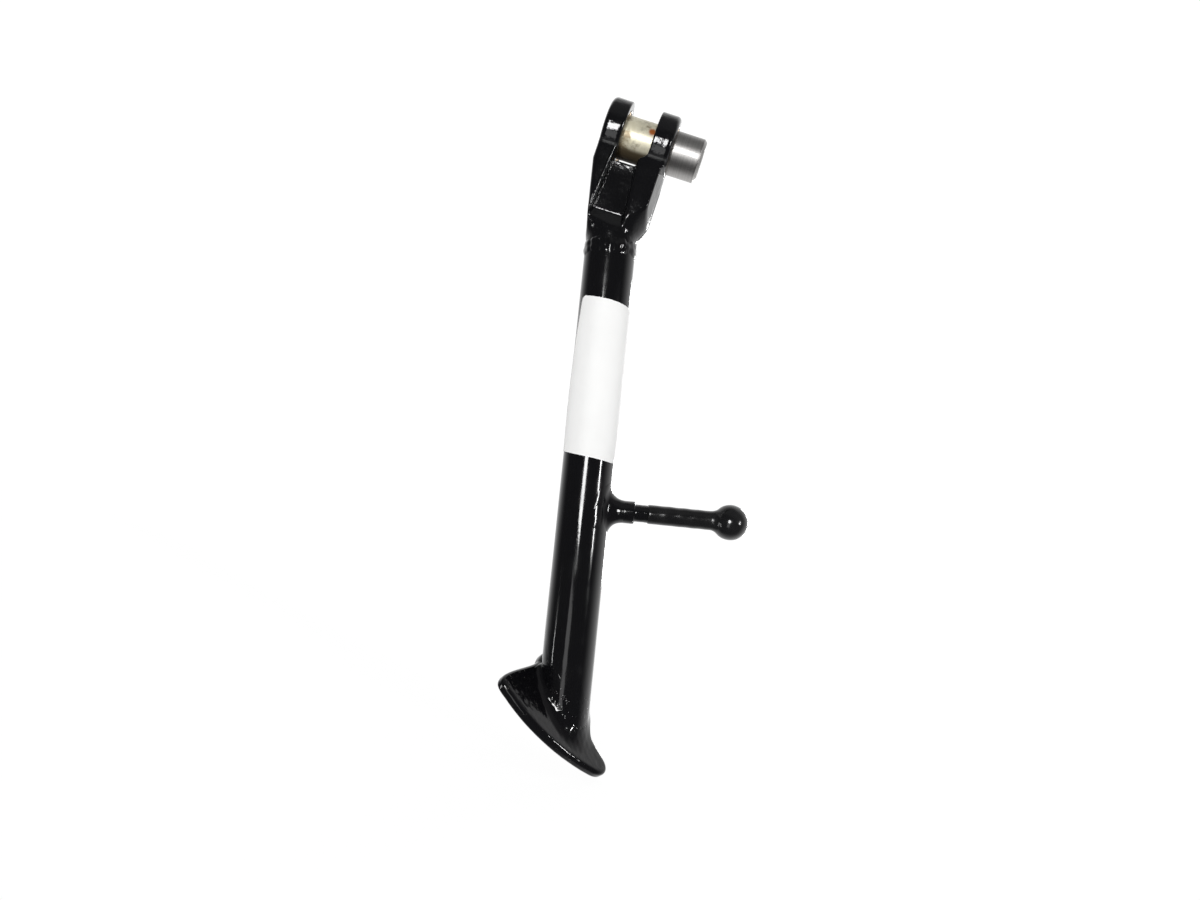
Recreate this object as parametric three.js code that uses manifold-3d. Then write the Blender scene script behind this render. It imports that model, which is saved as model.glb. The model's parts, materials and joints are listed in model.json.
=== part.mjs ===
// Side stand (kickstand) for a small motorcycle, in millimetres.
//
// Frame: the origin is on the pivot axis, midway between the two ears of the fork.
// +X runs along the pivot axis, outboard. +Z points up past the ears. +Y points to the rear of the stand.
// The leg runs down and outboard in the XZ plane, so each leg piece sits in a group turned by the splay
// angle: in that group the leg's axis is the Z axis, and "station" is the distance down it from the top.

import * as THREE from 'three';
import { mergeVertices } from 'three/addons/utils/BufferGeometryUtils.js';
import Module from 'manifold-3d';

const wasm = await Module();
wasm.setup();

const rad = THREE.MathUtils.degToRad;

// ---------------------------------------------------------------- driving dimensions

// A gap of this size is left wherever two pieces touch or are welded.
const GAP = 0.3;

// Pivot sleeve: the steel spacer tube that the stand swings on.
const SLEEVE_RADIUS = 9.5;
const SLEEVE_BORE_RADIUS = 5.25;
const SLEEVE_INBOARD_X = -15.1;
const SLEEVE_OUTBOARD_X = 29;
const SLEEVE_CHAMFER = 1.2;
const SLEEVE_BORE_CHAMFER = 0.8;

// Plain bushes pressed into the ears.
const BUSH_INNER_RADIUS = SLEEVE_RADIUS + GAP;
const BUSH_OUTER_RADIUS = 10.9;

// Forged fork head.
const EAR_RADIUS = 15;
const EAR_GAP_HALF = 6.65;
const EAR_OUTER_X = 15.5;
const EAR_BORE_RADIUS = BUSH_OUTER_RADIUS + GAP;
const TONGUE_SLOT_RADIUS = 16.3;
const FRONT_FACE_Y = 12;
const OUTBOARD_SIDE_X = 16.3;
const OUTBOARD_EDGE_X = 13.6;
const OUTBOARD_SIDE_END_Z = -37;
const DRAFT_START_Z = -11;
const SHOULDER_END_Z = -17;

// Pockets in the front and rear of the fork head.
const POCKET_CENTRE_X = -2;
const POCKET_FLOOR_Y = 8;
const POCKET_TOP_Z = -10;
const POCKET_BOTTOM_Z = -37;
const POCKET_RAMP_LENGTH = 7;
const POCKET_HALF_WIDTH_TOP = 4.5;
const POCKET_HALF_WIDTH_BOTTOM = 6.45;
const POCKET_DRAFT = 1;

// Leg.
const SPLAY = rad(12.73);
const LEG_OFFSET_X = -7.9;
const TUBE_RADIUS = 11.1;
const TUBE_BORE_RADIUS = 8.5;
const TUBE_TOP_STATION = 53;
const WELD_BEVEL = 1.8;
const SPIGOT_RADIUS = TUBE_BORE_RADIUS - GAP;
const SPIGOT_END_STATION = 70;
const SHOULDER_STATION = 51.6;
const NECK_START_STATION = 36;
const CONE_START_STATION = 30;
const CONE_START_RADIUS = 21.3;
const CONE_END_STATION = 46.6;
const CONE_TOP = 60;

// Weld bead between the fork head and the tube.
const HEAD_BEAD_HALF_WIDTH = 2.9;
const HEAD_BEAD_HEIGHT = 0.9;

// Foot: the plate's plane is tilted to lie flat on the ground when the machine leans on the stand.
const FOOT_STATION = 244.7;
const FOOT_PITCH = rad(29.5);
const FOOT_ROLL = rad(34.5);
const FOOT_TURN = rad(15);
const FOOT_THICKNESS = 4.6;
const FOOT_EDGE = 1.1;
const FOOT_WELD_HEIGHT = 4.2;
const FOOT_WELD_SIDE_WIDTH = 3.4;
const FOOT_WELD_END_WIDTH = 1.3;

// Kick lever.
const LEVER_STATION = 164.5;
const LEVER_WELD_END = 17.4;
const LEVER_WELD_ROOT_RADIUS = 10.5;
const BOSS_RADIUS = 4.8;
const BOSS_END = 21.8;
const NECK_RADIUS = 3.7;
const NECK_END = 27.3;
const CORE_RADIUS = 2.9;
const CORE_END = 60;
const GRIP_RADIUS = 4.1;
const GRIP_START = NECK_END + GAP;
const BALL_CENTRE = 63;
const BALL_RADIUS = 7.6;
const BALL_FILLET = 5;

// Blank sticker wrapped round the tube.
const LABEL_WIDTH = 33.2;
const LABEL_HEIGHT = 67;
const LABEL_THICKNESS = 0.25;
const LABEL_STATION = 109.5;
const LABEL_CENTRE_ARC = 1.4;
const LABEL_TILT = rad(7.2);

// Facets round a full circle.
const FACETS = 48;

// Cutters run this far past what they cut.
const OVERRUN = 40;

// ---------------------------------------------------------------- finishes

function finish(color, roughness, metalness) {
  return new THREE.MeshStandardMaterial({ color, roughness, metalness });
}

const blackPaint = () => finish(0x0b0b0d, 0.18, 0.1);
const bareSteel = () => finish(0xb3ada0, 0.32, 0.9);
const bronze = () => finish(0x8c6a35, 0.45, 0.9);
const blackGrip = () => finish(0x0d0d0f, 0.25, 0);
const whitePaper = () => finish(0xf2f2f0, 0.75, 0);

// ---------------------------------------------------------------- solid helpers

// Turns a closed geometry into a solid that can be joined and cut.
function solidOf(geometry) {
  const bare = geometry.clone();
  bare.deleteAttribute('normal');
  bare.deleteAttribute('uv');
  const merged = mergeVertices(bare, 1e-5);
  const mesh = new wasm.Mesh({
    numProp: 3,
    vertProperties: new Float32Array(merged.attributes.position.array),
    triVerts: new Uint32Array(merged.index.array),
  });
  return new wasm.Manifold(mesh);
}

// Turns a solid back into a geometry.
function geometryOf(solid) {
  const { vertProperties, triVerts } = solid.getMesh();
  const geometry = new THREE.BufferGeometry();
  geometry.setAttribute('position', new THREE.BufferAttribute(new Float32Array(vertProperties), 3));
  geometry.setIndex(new THREE.BufferAttribute(new Uint32Array(triVerts), 1));
  geometry.computeVertexNormals();
  return geometry;
}

// A closed shape drawn through [a, b] points.
function outline(points) {
  return new THREE.Shape(points.map(([a, b]) => new THREE.Vector2(a, b)));
}

// A shape pushed out from its own plane, with square edges.
function prism(shape, depth) {
  return new THREE.ExtrudeGeometry(shape, { depth, bevelEnabled: false, curveSegments: FACETS / 2 });
}

// A shape drawn in X and Z, pushed out along Y from yLow to yHigh.
function prismAlongY(shape, yLow, yHigh) {
  const geometry = prism(shape, yHigh - yLow);
  geometry.rotateX(Math.PI / 2);
  return geometry.translate(0, yHigh, 0);
}

// A shape drawn in Y and Z, pushed out along X from xLow to xHigh.
function prismAlongX(shape, xLow, xHigh) {
  const geometry = prism(shape, xHigh - xLow);
  geometry.rotateX(Math.PI / 2);
  geometry.rotateZ(Math.PI / 2);
  return geometry.translate(xLow, 0, 0);
}

// A closed profile of [radius, height] points turned about Z.
function turned(profile) {
  const points = profile.map(([radius, height]) => new THREE.Vector2(radius, height));
  const geometry = new THREE.LatheGeometry(points, FACETS);
  return geometry.rotateX(Math.PI / 2);
}

// The same, turned about X: the points are [radius, x].
function turnedAboutX(profile) {
  return turned(profile).rotateY(Math.PI / 2);
}

// A round bar along X.
function barAlongX(radius, xLow, xHigh) {
  const geometry = new THREE.CylinderGeometry(radius, radius, xHigh - xLow, FACETS);
  geometry.rotateZ(Math.PI / 2);
  return geometry.translate((xLow + xHigh) / 2, 0, 0);
}

// A round bar down the leg group's Z axis, between two stations.
function barDownLeg(radius, topStation, endStation) {
  const geometry = new THREE.CylinderGeometry(radius, radius, endStation - topStation, FACETS);
  geometry.rotateX(Math.PI / 2);
  return geometry.translate(0, 0, -(topStation + endStation) / 2);
}

function mesh(name, geometry, material) {
  const piece = new THREE.Mesh(geometry, material);
  piece.name = name;
  return piece;
}

// ---------------------------------------------------------------- frames

// The leg group's Z axis runs up the leg, and its X axis points outboard, square to the leg.
function legGroup() {
  const group = new THREE.Group();
  group.position.set(LEG_OFFSET_X, 0, 0);
  group.rotation.y = -SPLAY;
  group.updateMatrix();
  return group;
}

// The foot group's origin is where the leg's axis meets the plate's top face, and its Z axis is the
// plate's upward normal. It hangs in the object's frame.
function footGroup() {
  const group = new THREE.Group();
  const down = new THREE.Vector3(0, 0, -FOOT_STATION).applyMatrix4(legGroup().matrix);
  group.position.copy(down);
  const roll = new THREE.Matrix4().makeRotationY(FOOT_ROLL);
  const pitch = new THREE.Matrix4().makeRotationX(FOOT_PITCH);
  const turn = new THREE.Matrix4().makeRotationZ(FOOT_TURN);
  group.setRotationFromMatrix(roll.multiply(pitch).multiply(turn));
  group.updateMatrix();
  return group;
}

// Moves a geometry made in one frame into another.
function reframe(geometry, from, to) {
  const across = to.matrix.clone().invert().multiply(from.matrix);
  return geometry.applyMatrix4(across);
}

// The space on the ground side of the plate's top face, raised by a gap, in the leg's frame.
function belowFootPlane(raise) {
  const size = 4 * OVERRUN;
  const block = new THREE.BoxGeometry(size, size, size);
  block.translate(0, 0, raise - size / 2);
  return solidOf(reframe(block, footGroup(), legGroup()));
}

// ---------------------------------------------------------------- fork head

// A point on the leg's inboard or outboard side, as [x, z].
function legSide(station, across) {
  const x = LEG_OFFSET_X + station * Math.sin(SPLAY) + across * Math.cos(SPLAY);
  const z = -station * Math.cos(SPLAY) + across * Math.sin(SPLAY);
  return [x, z];
}

// The fork seen from the front: square shoulders over the ears, the inboard side in line with the leg.
function forkFrontOutline() {
  return outline([
    [-EAR_OUTER_X, EAR_RADIUS + 1],
    [-EAR_OUTER_X, SHOULDER_END_Z],
    legSide(50, -TUBE_RADIUS),
    legSide(50, TUBE_RADIUS),
    [OUTBOARD_SIDE_X - 1, OUTBOARD_SIDE_END_Z - 5],
    [OUTBOARD_SIDE_X, OUTBOARD_SIDE_END_Z],
    [OUTBOARD_SIDE_X, DRAFT_START_Z - 3],
    [EAR_OUTER_X, DRAFT_START_Z],
    [EAR_OUTER_X, EAR_RADIUS + 1],
  ]);
}

// The fork seen from the side: a round top about the pivot that drops in to the narrower flat faces.
function forkSideOutline() {
  const dip = Math.acos(FRONT_FACE_Y / EAR_RADIUS);
  const shape = new THREE.Shape();
  shape.moveTo(FRONT_FACE_Y, -2 * OVERRUN);
  shape.lineTo(FRONT_FACE_Y, -EAR_RADIUS * Math.sin(dip));
  shape.absarc(0, 0, EAR_RADIUS, -dip, Math.PI + dip, false);
  shape.lineTo(-FRONT_FACE_Y, -2 * OVERRUN);
  return shape;
}

// Forging draft on the outboard side, below the ears: widest at the mid plane.
function outboardDraftCut() {
  const depth = EAR_RADIUS + 1;
  const slope = (OUTBOARD_SIDE_X - OUTBOARD_EDGE_X) / FRONT_FACE_Y;
  const edge = OUTBOARD_SIDE_X - slope * depth;
  const far = OUTBOARD_SIDE_X + OVERRUN;
  const section = outline([[OUTBOARD_SIDE_X, 0], [edge, -depth], [far, -depth], [far, depth], [edge, depth]]);
  const drop = 2 * OVERRUN;
  return solidOf(prism(section, drop).translate(0, 0, DRAFT_START_Z - drop));
}

// The lower end of the flat faces runs out on a cone about the leg's axis.
function runOutCone() {
  const cone = turned([
    [0, -SHOULDER_STATION],
    [TUBE_RADIUS, -SHOULDER_STATION],
    [TUBE_RADIUS, -CONE_END_STATION],
    [CONE_START_RADIUS, -CONE_START_STATION],
    [CONE_TOP, -CONE_START_STATION + 1],
    [CONE_TOP, CONE_TOP],
    [0, CONE_TOP],
  ]);
  return solidOf(reframe(cone, legGroup(), new THREE.Group()));
}

// The round neck, its weld bevel and the spigot that goes down inside the tube.
function neckAndSpigot() {
  const neck = turned([
    [0, -SPIGOT_END_STATION],
    [SPIGOT_RADIUS - 1, -SPIGOT_END_STATION],
    [SPIGOT_RADIUS, -SPIGOT_END_STATION + 1],
    [SPIGOT_RADIUS, -SHOULDER_STATION],
    [TUBE_RADIUS - WELD_BEVEL, -SHOULDER_STATION],
    [TUBE_RADIUS, -SHOULDER_STATION + WELD_BEVEL],
    [TUBE_RADIUS, -NECK_START_STATION - 3],
    [TUBE_RADIUS - 0.4, -NECK_START_STATION],
    [0, -NECK_START_STATION],
  ]);
  return solidOf(reframe(neck, legGroup(), new THREE.Group()));
}

// The slot that the frame bracket's tongue goes into: round at the bottom, then flat out to the faces.
function tongueSlot() {
  const wide = EAR_RADIUS + 5;
  const edge = Math.asin(FRONT_FACE_Y / TONGUE_SLOT_RADIUS);
  const edgeZ = -TONGUE_SLOT_RADIUS * Math.cos(edge);
  const open = new THREE.Shape();
  open.moveTo(-wide, edgeZ);
  open.lineTo(-FRONT_FACE_Y, edgeZ);
  open.absarc(0, 0, TONGUE_SLOT_RADIUS, -Math.PI / 2 - edge, -Math.PI / 2 + edge, false);
  open.lineTo(wide, edgeZ);
  open.lineTo(wide, wide);
  open.lineTo(-wide, wide);
  return solidOf(prismAlongX(open, -EAR_GAP_HALF, EAR_GAP_HALF));
}

// One pocket: a flat floor with drafted sides that widen downwards, ending in a ramp. The cutter is a
// wedge between the floor's outline and a wider outline out beyond the rim.
function pocket(side) {
  const beyond = EAR_RADIUS + 1;
  const rise = (beyond - POCKET_FLOOR_Y) / (FRONT_FACE_Y - POCKET_FLOOR_Y);
  const floor = pocketCorners(side * POCKET_FLOOR_Y, 0, 0);
  const rim = pocketCorners(side * beyond, POCKET_DRAFT * rise, POCKET_RAMP_LENGTH * rise);
  return side < 0 ? hexahedron(rim, floor) : hexahedron(floor, rim);
}

function pocketCorners(y, widen, lower) {
  const top = POCKET_HALF_WIDTH_TOP + widen;
  const bottom = POCKET_HALF_WIDTH_BOTTOM + widen;
  return {
    topLeft: [POCKET_CENTRE_X - top, y, POCKET_TOP_Z],
    topRight: [POCKET_CENTRE_X + top, y, POCKET_TOP_Z],
    bottomLeft: [POCKET_CENTRE_X - bottom, y, POCKET_BOTTOM_Z - lower],
    bottomRight: [POCKET_CENTRE_X + bottom, y, POCKET_BOTTOM_Z - lower],
  };
}

// A six-sided solid bent from a box, between the corners of its low Y end and its high Y end.
function hexahedron(lowEnd, highEnd) {
  const box = new THREE.BoxGeometry(1, 1, 1);
  const position = box.attributes.position;
  for (let i = 0; i < position.count; i += 1) {
    const end = position.getY(i) < 0 ? lowEnd : highEnd;
    const row = position.getZ(i) > 0 ? 'top' : 'bottom';
    const column = position.getX(i) > 0 ? 'Right' : 'Left';
    position.setXYZ(i, ...end[row + column]);
  }
  return solidOf(box);
}

function forkHead() {
  const front = solidOf(prismAlongY(forkFrontOutline(), -EAR_RADIUS - 1, EAR_RADIUS + 1));
  const side = solidOf(prismAlongX(forkSideOutline(), -OVERRUN, OVERRUN));
  const bore = solidOf(barAlongX(EAR_BORE_RADIUS, -OVERRUN, OVERRUN));
  const solid = front
    .intersect(side)
    .intersect(runOutCone())
    .subtract(outboardDraftCut())
    .add(neckAndSpigot())
    .subtract(tongueSlot())
    .subtract(pocket(-1))
    .subtract(pocket(1))
    .subtract(bore);
  return mesh('fork_head', geometryOf(solid), blackPaint());
}

// ---------------------------------------------------------------- pivot pieces

function pivotSleeve() {
  const profile = [
    [SLEEVE_BORE_RADIUS + SLEEVE_BORE_CHAMFER, SLEEVE_INBOARD_X],
    [SLEEVE_RADIUS - SLEEVE_CHAMFER, SLEEVE_INBOARD_X],
    [SLEEVE_RADIUS, SLEEVE_INBOARD_X + SLEEVE_CHAMFER],
    [SLEEVE_RADIUS, SLEEVE_OUTBOARD_X - SLEEVE_CHAMFER],
    [SLEEVE_RADIUS - SLEEVE_CHAMFER, SLEEVE_OUTBOARD_X],
    [SLEEVE_BORE_RADIUS + SLEEVE_BORE_CHAMFER, SLEEVE_OUTBOARD_X],
    [SLEEVE_BORE_RADIUS, SLEEVE_OUTBOARD_X - SLEEVE_BORE_CHAMFER],
    [SLEEVE_BORE_RADIUS, SLEEVE_INBOARD_X + SLEEVE_BORE_CHAMFER],
    [SLEEVE_BORE_RADIUS + SLEEVE_BORE_CHAMFER, SLEEVE_INBOARD_X],
  ];
  return mesh('pivot_sleeve', turnedAboutX(profile), bareSteel());
}

function earBush(name, xLow, xHigh) {
  const profile = [
    [BUSH_INNER_RADIUS, xLow],
    [BUSH_OUTER_RADIUS, xLow],
    [BUSH_OUTER_RADIUS, xHigh],
    [BUSH_INNER_RADIUS, xHigh],
    [BUSH_INNER_RADIUS, xLow],
  ];
  return mesh(name, turnedAboutX(profile), bronze());
}

// ---------------------------------------------------------------- leg

function legTube() {
  const end = FOOT_STATION + OVERRUN;
  const pipe = turned([
    [TUBE_BORE_RADIUS, -TUBE_TOP_STATION],
    [TUBE_BORE_RADIUS, -end],
    [TUBE_RADIUS, -end],
    [TUBE_RADIUS, -TUBE_TOP_STATION - WELD_BEVEL],
    [TUBE_RADIUS - WELD_BEVEL, -TUBE_TOP_STATION],
    [TUBE_BORE_RADIUS, -TUBE_TOP_STATION],
  ]);
  const solid = solidOf(pipe).subtract(belowFootPlane(GAP));
  return mesh('leg_tube', geometryOf(solid), blackPaint());
}

// The bead fills the V between the two bevels and stands a little proud of the tube.
function headWeld() {
  const middle = -(TUBE_TOP_STATION + SHOULDER_STATION) / 2;
  const rootRadius = TUBE_RADIUS - WELD_BEVEL + GAP;
  const rootHalf = 0.5;
  const surface = TUBE_RADIUS + GAP;
  const surfaceHalf = rootHalf + surface - rootRadius;
  const upper = [
    [surface + HEAD_BEAD_HEIGHT * 0.7, HEAD_BEAD_HALF_WIDTH * 0.6],
    [surface, HEAD_BEAD_HALF_WIDTH],
    [surface, surfaceHalf],
    [rootRadius, rootHalf],
  ];
  const above = upper.map(([radius, offset]) => [radius, middle + offset]);
  const below = upper.map(([radius, offset]) => [radius, middle - offset]).reverse();
  const profile = [...below, [surface + HEAD_BEAD_HEIGHT, middle], ...above, below[0]];
  return mesh('head_weld', turned(profile), blackPaint());
}

// ---------------------------------------------------------------- foot

// The plate seen from above: a bowed ground edge, two rounded corners, and a rounded back that
// carries the tube.
function footOutline() {
  const shape = new THREE.Shape();
  shape.moveTo(-28.6, -12.8);
  shape.bezierCurveTo(-29.8, -17, -28.5, -18.4, -23, -19.7);
  shape.bezierCurveTo(-10, -24.2, 8, -24.6, 25, -19.8);
  shape.bezierCurveTo(31.5, -18.2, 33.2, -13.2, 28.4, -10.6);
  shape.bezierCurveTo(24, -8.6, 19.5, -7.6, 17.6, -3.4);
  shape.bezierCurveTo(15, 9, 6, 18.6, -6, 18.6);
  shape.bezierCurveTo(-15, 18.6, -18.2, 12, -17.4, 6);
  shape.bezierCurveTo(-19, 1, -26, -6.5, -28.6, -12.8);
  return shape;
}

function footPlate() {
  const geometry = new THREE.ExtrudeGeometry(footOutline(), {
    depth: FOOT_THICKNESS - 2 * FOOT_EDGE,
    bevelEnabled: true,
    bevelThickness: FOOT_EDGE,
    bevelSize: FOOT_EDGE,
    bevelOffset: -FOOT_EDGE,
    bevelSegments: 2,
    curveSegments: 10,
  });
  geometry.translate(0, 0, FOOT_EDGE - FOOT_THICKNESS);
  return mesh('foot_plate', geometryOf(solidOf(geometry)), blackPaint());
}

// A fillet of weld metal round the foot of the tube, bent from a cylinder. The tube meets the plate
// in an ellipse. The fillet is narrow at the ellipse's two ends, where the plate's edge is close.
function footWeld() {
  const foot = footGroup();
  const up = new THREE.Vector3(0, 0, 1).transformDirection(legGroup().matrix);
  up.transformDirection(foot.matrix.clone().invert());
  const longAngle = Math.atan2(up.y, up.x);
  const longRadius = TUBE_RADIUS / up.z;
  const lean = Math.hypot(up.x, up.y) / up.z;
  const levels = [GAP, FOOT_WELD_HEIGHT * 0.35, FOOT_WELD_HEIGHT];
  const share = [1, 0.4, 0.08];
  const fillet = new THREE.CylinderGeometry(1, 1, 2, FACETS, 2).rotateX(Math.PI / 2);
  const position = fillet.attributes.position;
  for (let i = 0; i < position.count; i += 1) {
    const level = Math.round(position.getZ(i)) + 1;
    const x = position.getX(i);
    const y = position.getY(i);
    const width = FOOT_WELD_END_WIDTH + (FOOT_WELD_SIDE_WIDTH - FOOT_WELD_END_WIDTH) * y * y;
    const reach = GAP + width * share[level];
    const height = levels[level];
    position.setXYZ(i, x * (longRadius + reach) + height * lean, y * (TUBE_RADIUS + reach), height);
  }
  fillet.rotateZ(longAngle);
  const bead = solidOf(reframe(fillet, foot, legGroup()));
  const tube = solidOf(barDownLeg(TUBE_RADIUS + GAP, TUBE_TOP_STATION, FOOT_STATION + OVERRUN));
  return mesh('foot_weld', geometryOf(bead.subtract(tube)), blackPaint());
}

// ---------------------------------------------------------------- kick lever

// Lever pieces are turned about the lever's own axis: X in the leg group, at the lever's station.
function leverPiece(name, profile, material, trim) {
  const geometry = turnedAboutX(profile).translate(0, 0, -LEVER_STATION);
  if (!trim) {
    return mesh(name, geometry, material);
  }
  const tube = solidOf(barDownLeg(TUBE_RADIUS + GAP, LEVER_STATION - OVERRUN, LEVER_STATION + OVERRUN));
  return mesh(name, geometryOf(solidOf(geometry).subtract(tube)), material);
}

// The flared weld at the lever's root: a concave fillet from the tube to the collar.
function leverWeld() {
  const steps = 6;
  const hole = NECK_RADIUS + GAP;
  const root = TUBE_RADIUS / 2;
  const filletStart = TUBE_RADIUS - 0.6;
  const profile = [[hole, root], [LEVER_WELD_ROOT_RADIUS, root], [LEVER_WELD_ROOT_RADIUS, filletStart]];
  const rise = LEVER_WELD_END - filletStart;
  const fall = LEVER_WELD_ROOT_RADIUS - BOSS_RADIUS;
  for (let i = 1; i <= steps; i += 1) {
    const turn = (Math.PI / 2) * (i / steps);
    const radius = LEVER_WELD_ROOT_RADIUS - fall * Math.sin(turn);
    profile.push([radius, LEVER_WELD_END - rise * Math.cos(turn)]);
  }
  profile.push([hole, LEVER_WELD_END], [hole, root]);
  return leverPiece('lever_weld', profile, blackPaint(), true);
}

function leverBoss() {
  const start = LEVER_WELD_END + GAP;
  const hole = NECK_RADIUS + GAP;
  const profile = [
    [hole, start],
    [BOSS_RADIUS, start],
    [BOSS_RADIUS, BOSS_END - 0.5],
    [BOSS_RADIUS - 0.5, BOSS_END],
    [hole, BOSS_END],
    [hole, start],
  ];
  return leverPiece('lever_boss', profile, blackPaint(), false);
}

function leverRod() {
  const profile = [
    [0, TUBE_RADIUS - 3],
    [NECK_RADIUS, TUBE_RADIUS - 3],
    [NECK_RADIUS, NECK_END],
    [CORE_RADIUS, NECK_END],
    [CORE_RADIUS, CORE_END - 0.8],
    [CORE_RADIUS - 0.8, CORE_END],
    [0, CORE_END],
  ];
  return leverPiece('lever_rod', profile, blackPaint(), true);
}

// The moulded grip: a sleeve over the rod that swells through a fillet into a ball. The fillet's arc
// touches the sleeve and the ball, so its centre is found from the two radii.
function leverGrip() {
  const hole = CORE_RADIUS + GAP;
  const profile = [[hole, GRIP_START], [GRIP_RADIUS - 0.4, GRIP_START], [GRIP_RADIUS, GRIP_START + 0.5]];
  const filletRadial = GRIP_RADIUS + BALL_FILLET;
  const filletBack = Math.sqrt((BALL_RADIUS + BALL_FILLET) ** 2 - filletRadial ** 2);
  const join = Math.atan2(filletRadial, filletBack);
  const filletSteps = 3;
  for (let i = 0; i < filletSteps; i += 1) {
    const turn = (Math.PI / 2 - join) * (i / filletSteps);
    const along = BALL_CENTRE - filletBack + BALL_FILLET * Math.sin(turn);
    profile.push([filletRadial - BALL_FILLET * Math.cos(turn), along]);
  }
  const ballSteps = 12;
  for (let i = 0; i < ballSteps; i += 1) {
    const polar = join + (Math.PI - join) * (i / ballSteps);
    profile.push([BALL_RADIUS * Math.sin(polar), BALL_CENTRE - BALL_RADIUS * Math.cos(polar)]);
  }
  profile.push([0, BALL_CENTRE + BALL_RADIUS]);
  profile.push([0, CORE_END + GAP], [hole, CORE_END + GAP], [hole, GRIP_START]);
  return leverPiece('lever_grip', profile, blackGrip(), false);
}

// ---------------------------------------------------------------- sticker

// A thin rectangle, tilted a little, then wrapped round the front of the tube.
function label() {
  const sheet = new THREE.BoxGeometry(LABEL_WIDTH, LABEL_HEIGHT, LABEL_THICKNESS, 20, 10, 1);
  sheet.rotateZ(-LABEL_TILT);
  const position = sheet.attributes.position;
  const inner = TUBE_RADIUS + GAP;
  for (let i = 0; i < position.count; i += 1) {
    const angle = (position.getX(i) + LABEL_CENTRE_ARC) / TUBE_RADIUS;
    const radius = inner + LABEL_THICKNESS / 2 + position.getZ(i);
    const height = position.getY(i) - LABEL_STATION;
    position.setXYZ(i, radius * Math.sin(angle), -radius * Math.cos(angle), height);
  }
  return mesh('label', sheet, whitePaper());
}

// ---------------------------------------------------------------- assembly

const stand = new THREE.Group();

stand.add(
  pivotSleeve(),
  earBush('ear_bush_inboard', -EAR_OUTER_X + GAP, -EAR_GAP_HALF - GAP),
  earBush('ear_bush_outboard', EAR_GAP_HALF + GAP, EAR_OUTER_X - GAP),
  forkHead(),
);

const leg = legGroup();
leg.add(legTube(), headWeld(), footWeld(), leverWeld(), leverBoss(), leverRod(), leverGrip(), label());
stand.add(leg);

const foot = footGroup();
foot.add(footPlate());
stand.add(foot);

export default stand;
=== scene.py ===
"""A small motorcycle's side stand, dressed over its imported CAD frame.

Lengths are millimetres in the row frame until a mesh is made, and metres in Blender. Forged and
welded pieces are drawn as signed distance fields, below zero inside, and meshed by surface nets.
Round pieces are turned profiles.
"""

import json
import math

import bpy
import numpy as np
from mathutils import Matrix, Vector


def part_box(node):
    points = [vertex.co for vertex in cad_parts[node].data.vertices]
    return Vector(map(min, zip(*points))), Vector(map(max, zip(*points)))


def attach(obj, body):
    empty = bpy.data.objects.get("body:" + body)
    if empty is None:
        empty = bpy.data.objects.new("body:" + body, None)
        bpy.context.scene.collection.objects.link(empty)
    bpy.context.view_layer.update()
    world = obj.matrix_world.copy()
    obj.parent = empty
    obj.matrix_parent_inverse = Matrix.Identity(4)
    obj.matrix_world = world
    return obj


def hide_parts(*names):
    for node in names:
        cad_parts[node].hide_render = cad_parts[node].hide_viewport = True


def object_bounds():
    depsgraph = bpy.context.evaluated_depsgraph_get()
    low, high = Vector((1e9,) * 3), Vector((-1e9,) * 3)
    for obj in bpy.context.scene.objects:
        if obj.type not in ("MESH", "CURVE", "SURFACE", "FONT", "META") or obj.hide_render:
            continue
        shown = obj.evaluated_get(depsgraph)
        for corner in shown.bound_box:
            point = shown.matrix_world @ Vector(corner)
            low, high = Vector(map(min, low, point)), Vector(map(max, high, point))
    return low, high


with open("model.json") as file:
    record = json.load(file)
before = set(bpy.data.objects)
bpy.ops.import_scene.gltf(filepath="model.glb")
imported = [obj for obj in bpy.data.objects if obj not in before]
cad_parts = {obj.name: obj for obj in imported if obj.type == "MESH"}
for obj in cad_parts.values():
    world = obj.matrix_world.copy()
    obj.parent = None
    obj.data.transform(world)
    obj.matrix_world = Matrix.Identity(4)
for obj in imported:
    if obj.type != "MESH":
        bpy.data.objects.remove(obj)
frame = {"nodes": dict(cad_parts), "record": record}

cad_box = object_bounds()

MM = 0.001
TAU = 2 * math.pi


# ---------------------------------------------------------------- measuring the frame

class Line:
    """A straight axis with three square directions: along it, across it and out to the front."""

    def __init__(self, origin, along, across, front):
        self.origin = np.array(origin, float)
        self.along = np.array(along, float)
        self.across = np.array(across, float)
        self.front = np.array(front, float)

    def points(self, along, radius, angle):
        """Points by distance along, radius out, and angle from the front towards across."""
        out = np.sin(angle)[..., None] * self.across + np.cos(angle)[..., None] * self.front
        return self.origin + along[..., None] * self.along + radius[..., None] * out


def corners(node):
    """A CAD node's vertices."""
    vertices = frame["nodes"][node].data.vertices
    flat = np.empty(len(vertices) * 3, np.float32)
    vertices.foreach_get("co", flat)
    return flat.reshape(-1, 3).astype(float) / MM


def reach(node, line):
    """How far a CAD node reaches: lowest and highest along the line, nearest and farthest out."""
    offset = corners(node) - line.origin
    along = offset @ line.along
    out = np.linalg.norm(offset - along[:, None] * line.along, axis=1)
    return along.min(), along.max(), out.min(), out.max()


FRONT = (0, -1, 0)
pivot = Line((0, 0, 0), (1, 0, 0), (0, 0, 1), FRONT)


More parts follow.
